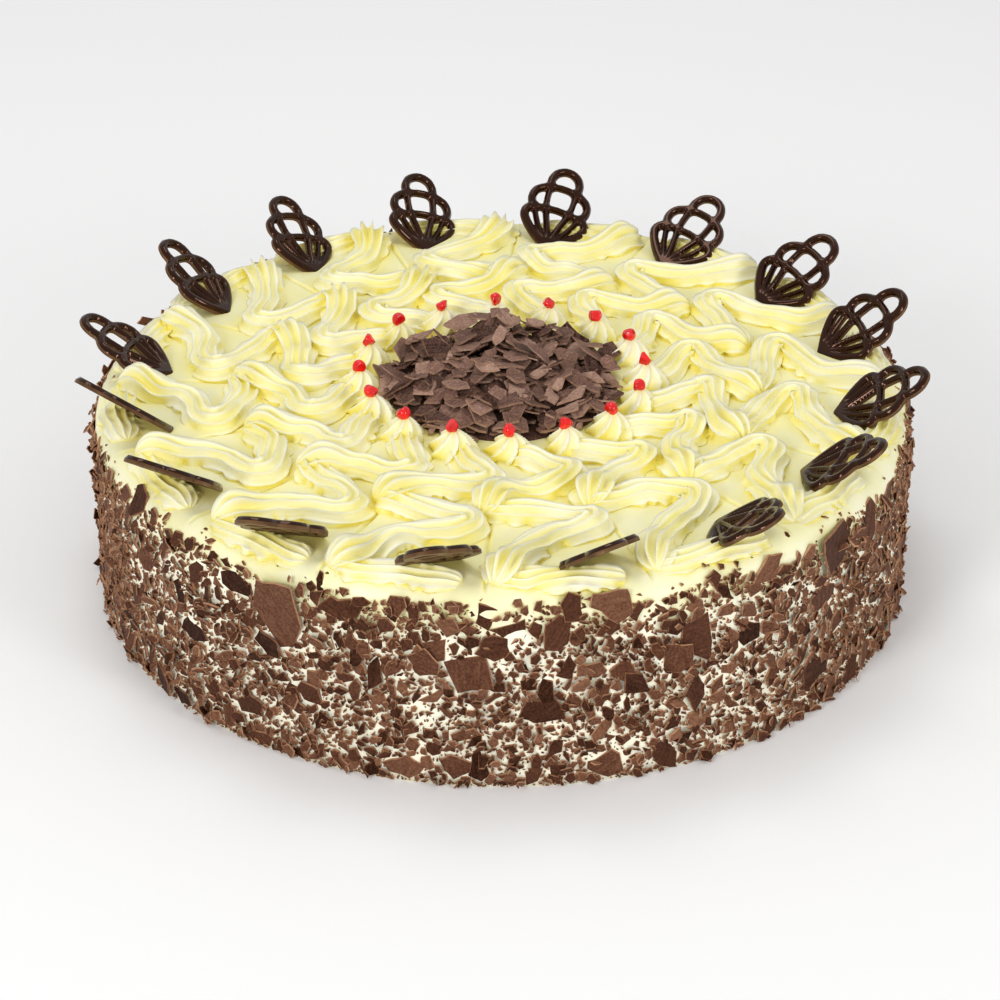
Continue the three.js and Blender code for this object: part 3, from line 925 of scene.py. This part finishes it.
def chocolate_fan(index, shape, materials):
    """One fan stuck into the cream, leaning out over the rim."""
    points, faces, slots = shape
    twist, lean, yaw, shift = FAN_SWAYS[index]
    angles = [math.radians(a) for a in (FAN_TWIST + twist, -FAN_LEAN + lean, FAN_YAW + yaw)]
    turn = np.array(Euler(angles, "XYZ").to_matrix())
    tip = [FAN_TIP_DISTANCE, FAN_TIP_OFFSET + shift, CAKE_HEIGHT - FAN_TIP_SINK]
    placed = FAN_SCALE * points @ turn.T + tip
    piece = portion_piece(
        index, "chocolate_fan", placed, faces, materials, "ornament", "dark_chocolate", face_slots=slots
    )
    piece.data.set_sharp_from_angle(angle=FAN_SHARPEST)


# Flakes
def flake_outline(rng, span, narrowest=FLAKE_NARROWEST):
    """Corners of one broken flake about its middle, anticlockwise."""
    corners = CRUMB_CORNERS if span < FLAKE_CRUMB else FLAKE_CORNERS
    count = int(rng.integers(*corners))
    shifts = rng.uniform(-FLAKE_CORNER_SHIFT, FLAKE_CORNER_SHIFT, count)
    angles = (np.arange(count) + shifts) * 2 * math.pi / count
    reach = rng.uniform(*FLAKE_REACHES, count) * span / 2
    narrow = rng.uniform(narrowest, 1.0)
    outline = np.stack([reach * np.cos(angles), narrow * reach * np.sin(angles)], 1)
    turn = rng.uniform(0, 2 * math.pi)
    spin = np.array([[math.cos(turn), math.sin(turn)], [-math.sin(turn), math.cos(turn)]])
    return outline @ spin


def broken_edge(rng, outline):
    """Outline with broken corners put into its longer sides."""
    points = []
    for start, end in zip(outline, np.roll(outline, -1, 0)):
        points.append(start)
        side = end - start
        square = np.array([-side[1], side[0]])
        corners = int(min(np.linalg.norm(side) / FLAKE_BREAK_LENGTH, FLAKE_MOST_BREAKS))
        for share in (np.arange(corners) + rng.uniform(*FLAKE_BREAK_PLACES, corners)) / (corners + 1):
            points.append(start + share * side + rng.normal(0, FLAKE_JAG) * square)
    return np.array(points)


def grid_spots(heights, cells):
    """Spots of cells on a grid of heights a millimetre apart, which repeats in its first direction."""
    around, levels = heights.shape
    return cells[:, 0] % around, np.clip(cells[:, 1], 0, levels - 1)


def feel_heights(heights, centre, outline, shares):
    """Places in a flake's outline, and the heights under them."""
    probes = np.vstack([*(outline * share for share in shares), np.zeros((1, 2))])
    cells = np.floor(probes + centre).astype(int)
    return probes, heights[grid_spots(heights, cells)]


def covered_share(heights, centre, outline):
    """Share of a flake's spot that already has a flake."""
    _, under = feel_heights(heights, centre, outline, COVERED_SHARES)
    return np.mean(under > 0)


def settle_flake(heights, centre, outline, thickness, lean, steepest):
    """Plane of the underside of a flake on what is under it, which raises the heights there."""
    probes, under = feel_heights(heights, centre, outline, RESTING_SHARES)
    basis = np.column_stack([np.ones(len(probes)), probes])
    plane = np.linalg.lstsq(basis, under, rcond=None)[0]
    plane[1:] = np.clip(plane[1:], -steepest, steepest) + lean
    plane[0] += RESTING_LIFT * np.max(under - basis @ plane)
    low = np.floor(outline.min(0) + centre).astype(int)
    high = np.ceil(outline.max(0) + centre).astype(int)
    lines = [np.arange(start, end) for start, end in zip(low, high)]
    cells = np.stack(np.meshgrid(*lines, indexing="ij"), -1).reshape(-1, 2)
    local = cells + 0.5 - centre
    edges = np.roll(outline, -1, 0) - outline
    offset = local[:, None, :] - outline[None]
    inside = (edges[:, 0] * offset[..., 1] - edges[:, 1] * offset[..., 0] > -OUTLINE_SLACK).all(1)
    top = plane[0] + local[inside] @ plane[1:] + thickness
    spots = grid_spots(heights, cells[inside])
    heights[spots] = np.maximum(heights[spots], top)
    return plane


def lay_flake(mesh, heights, spot, outline, thicknesses, slant, steepest, there, rng):
    """Lay one flake at a spot on a grid of heights, which has a place and directions on the cake."""
    thickness = rng.uniform(*thicknesses)
    lean = rng.normal(0, slant, 2)
    plane = settle_flake(heights, spot, outline, thickness, lean, steepest)
    outline = broken_edge(rng, outline)
    base = plane[0] + outline @ plane[1:]
    place, right, up, out = there
    lower = place + outline[:, :1] * right + outline[:, 1:] * up + base[:, None] * out
    mesh.add(lower, thickness * out, outline, rng)


class FlakeMesh:
    """Collects flakes as thin plates with paler broken edges."""

    def __init__(self):
        self.points = []
        self.faces = []
        self.slots = []
        self.tones = []
        self.grains = []
        self.count = 0

    def add(self, lower, rise, outline, rng):
        """Plate over a ring of points, narrower on top, with a shade and a grain of its own."""
        sides = len(lower)
        inward = lower.mean(0) - lower
        bevel = np.minimum(FLAKE_BEVEL / np.linalg.norm(inward, axis=1), FLAKE_MOST_BEVEL)
        upper = lower + rise + inward * bevel[:, None]
        turn = rng.uniform(0, 2 * math.pi)
        along = outline @ [math.cos(turn), math.sin(turn)]
        across = outline @ [-math.sin(turn), math.cos(turn)]
        depth = np.full(sides, rng.uniform(0, FLAKE_GRAINS))
        grain = np.column_stack([along / FLAKE_STREAK_LENGTH, across / FLAKE_STREAK_WIDTH, depth])
        tone = rng.uniform(*FLAKE_TONES) - FLAKE_SIZE_TONE * np.ptp(outline, axis=0).max()
        faces = tube_faces(2, sides, self.count)
        self.count += 2 * sides
        self.points += [lower, upper]
        self.grains += [grain, grain]
        self.faces += faces
        self.slots += [1] * sides + [0, 0]
        self.tones += [tone] * len(faces)

    def finish(self, name, materials, node):
        """One piece of all the flakes, none of them below the floor."""
        points = np.maximum(np.vstack(self.points), [-np.inf, -np.inf, FLAKE_LOWEST])
        make_piece(
            name, points, self.faces, materials, [node], "chocolate_flakes", smooth=False,
            face_slots=self.slots, tone=self.tones, grain=np.vstack(self.grains)
        )


# Flakes on the side
def wall_frame(along, up):
    """Place on the cake's wall or rim, and its directions along, up and out."""
    level_out, round_way = level_directions(along / CAKE_RADIUS)
    bend = min(max((up - WALL_HEIGHT) / RIM_ROUNDING, 0), math.pi / 2)
    out = math.cos(bend) * level_out + math.sin(bend) * UPWARD
    place = (CAKE_RADIUS - RIM_ROUNDING * (1 - math.cos(bend))) * level_out
    place[2] = min(up, WALL_HEIGHT) + RIM_ROUNDING * math.sin(bend)
    return place, round_way, np.cross(out, round_way), out


def side_border(along):
    """Height up to which flakes lie thickly at a distance round the wall."""
    level_out, _ = level_directions(along / CAKE_RADIUS)
    return SIDE_TOP + SIDE_TOP_UNEVEN * smooth_bumps(level_out[None, :2], SIDE_TOP_BUMP, SIDE_TOP_SEED)[0]


def press_flake(mesh, heights, centre, outline, slant, rng):
    """Press one flake into the cream at a place on the unrolled wall."""
    wall = wall_frame(*centre)
    lay_flake(mesh, heights, centre, outline, SIDE_THICKNESSES, slant, SIDE_STEEPEST, wall, rng)


def stick_flake(mesh, rng):
    """Stick one flake edge first into the cream so that it stands out from the side."""
    along = rng.uniform(0, GIRTH)
    place, round_way, upward, out = wall_frame(along, rng.uniform(STICKING_LOWEST, side_border(along)))
    outline = flake_outline(rng, rng.uniform(*STICKING_SPANS))
    outline[:, 1] -= outline[:, 1].min() + STICKING_DEPTH
    spin = rng.uniform(0, 2 * math.pi)
    tilt = rng.uniform(*STICKING_TILTS)
    foot = math.cos(spin) * round_way + math.sin(spin) * upward
    rise = math.cos(tilt) * np.cross(out, foot) + math.sin(tilt) * out
    lower = place + outline[:, :1] * foot + outline[:, 1:] * rise
    mesh.add(lower, STICKING_THICKNESS * np.cross(foot, rise), outline, rng)


def large_flakes(materials, heights, rng):
    """Largest flakes, each in its own place, and the ones that stick out."""
    mesh = FlakeMesh()
    for direction, up, wide, long in LARGE_FLAKES:
        outline = flake_outline(rng, FLAKE_CRUMB, LARGE_NARROWEST)
        outline *= np.array([wide, long]) / (outline.max(0) - outline.min(0))
        centre = np.array([math.radians(direction % 360) * CAKE_RADIUS, up])
        press_flake(mesh, heights, centre, outline, LARGE_LEAN, rng)
    for _ in range(STICKING_FLAKES):
        stick_flake(mesh, rng)
    mesh.finish("side_flakes_large", materials, "torte_body")


def random_place(rng):
    """Distance round the wall and height of one flake, below the border but for a few strays."""
    along = rng.uniform(0, GIRTH)
    up = SIDE_LOWEST + (side_border(along) - SIDE_LOWEST) * rng.uniform() ** SIDE_LOW_POWER
    chance = rng.uniform()
    if chance < STRAY_SHARE:
        up += rng.exponential(STRAY_HEIGHT)
    elif chance < STRAY_SHARE + FOOT_SHARE:
        up = rng.exponential(FOOT_HEIGHT)
    return along, up


def side_flakes(materials):
    """Flakes pressed into the side like a mosaic, below a ragged upper border."""
    rng = np.random.default_rng(SIDE_SEED)
    heights = np.full((int(GIRTH), int(WALL_HEIGHT + SIDE_TOP_MARGIN)), -SIDE_SINK)
    large_flakes(materials, heights, rng)
    plates = heights.copy()
    for number, (least, most, count, overlap, slant) in enumerate(SIDE_FLAKE_CLASSES):
        mesh = FlakeMesh()
        placed = 0
        for _ in range(SIDE_TRIES * count):
            along, up = random_place(rng)
            outline = flake_outline(rng, rng.uniform(least, most))
            centre = np.array([along, max(up, SIDE_CLEARANCE - outline[:, 1].min())])
            if covered_share(heights, centre, outline) > overlap:
                continue
            if covered_share(plates, centre, outline) > PLATE_OVERLAP:
                continue
            press_flake(mesh, heights, centre, outline, slant, rng)
            placed += 1
            if placed == count:
                break
        mesh.finish(f"side_flakes_{number + 1}", materials, "torte_body")
        if least >= PLATE_SPAN:
            plates = heights.copy()


# Heap of flakes
def heap_core(material):
    """Low mound under the heap's flakes."""
    angles = np.linspace(0, 2 * math.pi, CORE_COLUMNS, endpoint=False)
    rings = []
    for slope in np.linspace(0, 1, CORE_ROWS) * math.pi / 2:
        radius = CORE_RADIUS * math.cos(slope) + CORE_TIP_RADIUS
        height = CAKE_HEIGHT - CORE_SINK + (CORE_HEIGHT + CORE_SINK) * math.sin(slope)
        rings.append(ring_points(radius, angles, height))
    faces = tube_faces(CORE_ROWS, CORE_COLUMNS)
    make_piece("heap_core", np.vstack(rings), faces, [material], ["flake_heap"], "chocolate_flakes")


def core_heights():
    """Heights of the mound above the top, on a grid of one millimetre."""
    size = int(2 * (HEAP_RADIUS + HEAP_MARGIN))
    steps = np.arange(size) + 0.5 - size / 2
    share = np.clip(np.hypot(steps[:, None], steps) / HEAP_RADIUS, 0, 1)
    return CORE_HEIGHT * np.sqrt(1 - share ** 2)


def drop_flake(mesh, heights, span, rng):
    """Drop one flake onto the heap."""
    outline = flake_outline(rng, span)
    distance = (HEAP_RADIUS - HEAP_INSET_SHARE * span) * math.sqrt(rng.uniform())
    angle = rng.uniform(0, 2 * math.pi)
    centre = np.array([distance * math.cos(angle), distance * math.sin(angle)])
    spot = centre + len(heights) / 2
    top = (np.array([*centre, CAKE_HEIGHT]), *np.eye(3))
    lay_flake(mesh, heights, spot, outline, HEAP_THICKNESSES, HEAP_LEAN, HEAP_STEEPEST, top, rng)


def stand_flake(mesh, direction, distance, span, tilt, rng):
    """Stand one flake on edge, leaning outwards."""
    outward, across = level_directions(math.radians(direction))
    slope = math.cos(math.radians(tilt)) * outward + math.sin(math.radians(tilt)) * UPWARD
    outline = flake_outline(rng, span, STANDING_NARROWEST)
    outline[:, 1] -= outline[:, 1].min()
    foot = distance * outward + (CAKE_HEIGHT + CORE_HEIGHT) * UPWARD - STANDING_SINK_SHARE * span * slope
    lower = foot + outline[:, :1] * across + outline[:, 1:] * slope
    mesh.add(lower, STANDING_THICKNESS * np.cross(across, slope), outline, rng)


def flake_heap(materials):
    """Loose flakes heaped in the middle of the top over a low mound."""
    heap_core(materials[0])
    rng = np.random.default_rng(HEAP_SEED)
    heights = core_heights()
    mesh = FlakeMesh()
    for least, most, count in HEAP_FLAKE_CLASSES:
        for _ in range(count):
            drop_flake(mesh, heights, rng.uniform(least, most), rng)
    for flake in STANDING_FLAKES:
        stand_flake(mesh, *flake, rng)
    mesh.finish("heap_flakes", materials, "flake_heap")


# Stage
def aim(thing, target):
    """Turn a camera or light to face a point."""
    direction = Vector(target) - thing.location
    thing.rotation_euler = direction.to_track_quat("-Z", "Y").to_euler()


def pale_floor():
    """Pale floor under the cake."""
    material, shader, place = new_material("pale_floor", {"Roughness": 0.9, "Specular IOR Level": 0.2})
    add_colour(material, shader, add_noise(material, place, scale=2), FLOOR_COLOURS)
    mesh = bpy.data.meshes.new("floor")
    corners = [(-1, -1, 0), (1, -1, 0), (1, 1, 0), (-1, 1, 0)]
    mesh.from_pydata((FLOOR_REACH * np.array(corners)).tolist(), [], [(0, 1, 2, 3)])
    mesh.materials.append(material)
    floor = add_object("floor", mesh)


def studio_lights():
    """Soft white light from all round and from a few lamps."""
    world = bpy.data.worlds.new("studio")
    bpy.context.scene.world = world
    bpy.context.scene.view_settings.view_transform = "Standard"
    world.use_nodes = True
    background = world.node_tree.nodes["Background"]
    background.inputs["Color"].default_value = (1, 1, 1, 1)
    background.inputs["Strength"].default_value = WORLD_STRENGTH
    for name, place, power in LIGHTS:
        light = bpy.data.lights.new(name, "AREA")
        light.shape = "DISK"
        light.size = LIGHT_SIZE
        light.energy = power
        lamp = add_object(name, light)
        lamp.location = place
        aim(lamp, LIGHT_TARGET)


def camera():
    """Camera at the photograph's place and angle."""
    data = bpy.data.cameras.new("camera")
    data.sensor_width = CAMERA_SENSOR
    data.lens = CAMERA_LENS
    thing = add_object("camera", data)
    back = CAMERA_DISTANCE * math.cos(CAMERA_ELEVATION)
    thing.location = (0, -back, CAMERA_DISTANCE * math.sin(CAMERA_ELEVATION))
    aim(thing, CAMERA_TARGET)
    bpy.context.scene.camera = thing


def build():
    """All pieces of the cake."""
    cream = cream_material(
        "vanilla_cream", COAT_COLOURS, roughness=0.45, painted_crease_shade=COAT_PAINTED_CREASE_SHADE
    )
    piping = cream_material(
        "piped_cream", PIPING_COLOURS, roughness=0.38, painted_crease_shade=PIPING_PAINTED_CREASE_SHADE
    )
    flake_face = flake_material("flake_face", FLAKE_FACE_COLOURS, roughness=0.6)
    flake_edge = flake_material("flake_edge", FLAKE_EDGE_COLOURS, roughness=0.75)
    # The heap's face colours carry a painted sheen
    heap_face_painted_sheen = flake_material("heap_face_painted_sheen", HEAP_FACE_PAINTED_SHEEN_COLOURS, roughness=0.55)
    heap_edge = flake_material("heap_edge", HEAP_EDGE_COLOURS, roughness=0.7)
    glossy = chocolate_material(
        "glossy_chocolate", GLOSSY_COLOURS, roughness=0.1, grain_scale=200, grain_depth=0.01
    )
    dull = chocolate_material(
        "dull_chocolate", DULL_COLOURS, roughness=0.5, grain_scale=900, grain_depth=0.3
    )
    jelly = jelly_material()
    cream_coat(cream)
    side_flakes([flake_face, flake_edge])
    flake_heap([heap_face_painted_sheen, heap_edge])
    shape = fan_mesh()
    for index in range(PORTIONS):
        piped_cream(index, piping)
        jelly_piece(index, jelly)
        chocolate_fan(index, shape, [glossy, dull])


build()
pale_floor()
studio_lights()
camera()
bpy.context.view_layer.update()
